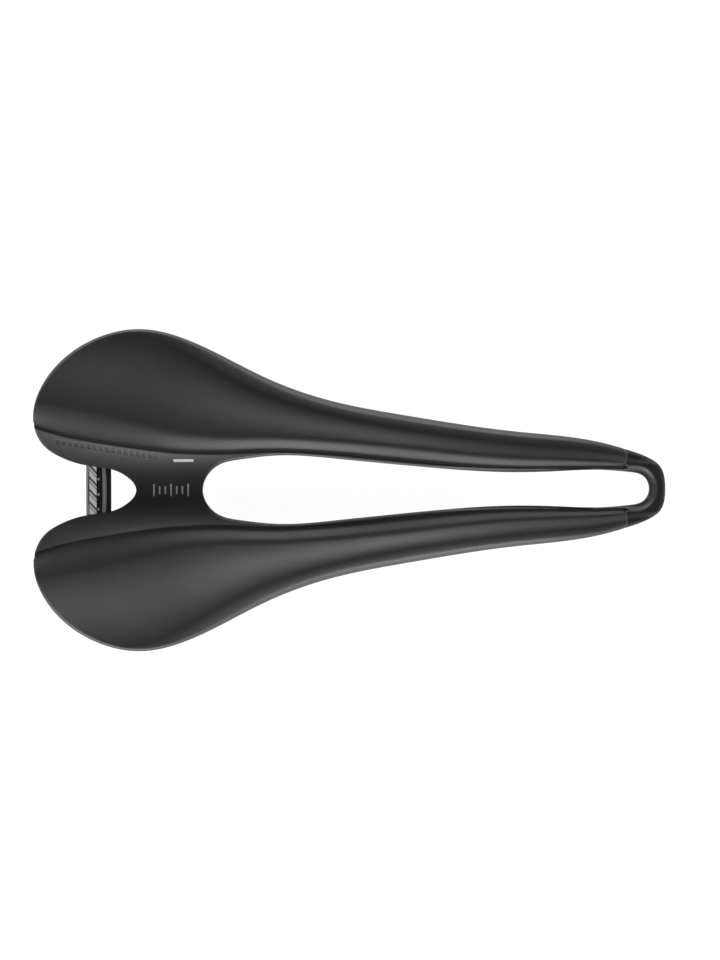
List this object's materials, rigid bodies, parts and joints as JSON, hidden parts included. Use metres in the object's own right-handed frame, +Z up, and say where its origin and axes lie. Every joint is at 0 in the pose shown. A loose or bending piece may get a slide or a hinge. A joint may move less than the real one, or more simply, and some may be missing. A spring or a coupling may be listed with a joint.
{
  "type": "bicycle saddle",
  "caption": "Racing bicycle saddle with two padded tongues, a long central slot, a rear notch, a bare drooping nose loop and round steel rails.",
  "frame": {"origin": "midway between the two rails, at the middle of their straight clamping run, at rail centre height", "axes": "+X to the nose, +Y to the rider's left, +Z up"},
  "size_m": [0.2666, 0.1358, 0.0599],
  "materials": {
    "shell_plastic": "satin",
    "pad_foam": "matte",
    "cover_fabric": "satin",
    "rail_steel": "satin",
    "support_paint": "satin",
    "label_film": "satin",
    "sleeve_rubber": "matte",
    "cap_plastic": "matte",
    "screw_steel": "black oxide",
    "insert_brass": "machined"
  },
  "bodies": {
    "root": {"shell": "shell_plastic", "pad_left": "pad_foam", "pad_right": "pad_foam", "cover_left": "cover_fabric", "cover_right": "cover_fabric", "rail_left": "rail_steel", "rail_right": "rail_steel", "rear_support": "support_paint", "crossbar_label": "label_film", "rear_sleeve_left": "sleeve_rubber", "rear_sleeve_right": "sleeve_rubber", "front_sleeve_left": "sleeve_rubber", "front_sleeve_right": "sleeve_rubber", "front_cap_left": "cap_plastic", "front_cap_right": "cap_plastic", "front_screws": "screw_steel", "rear_screws": "screw_steel", "front_inserts": "insert_brass", "rear_inserts": "insert_brass", "rail_plugs": "cap_plastic"}
  },
  "joints": []
}
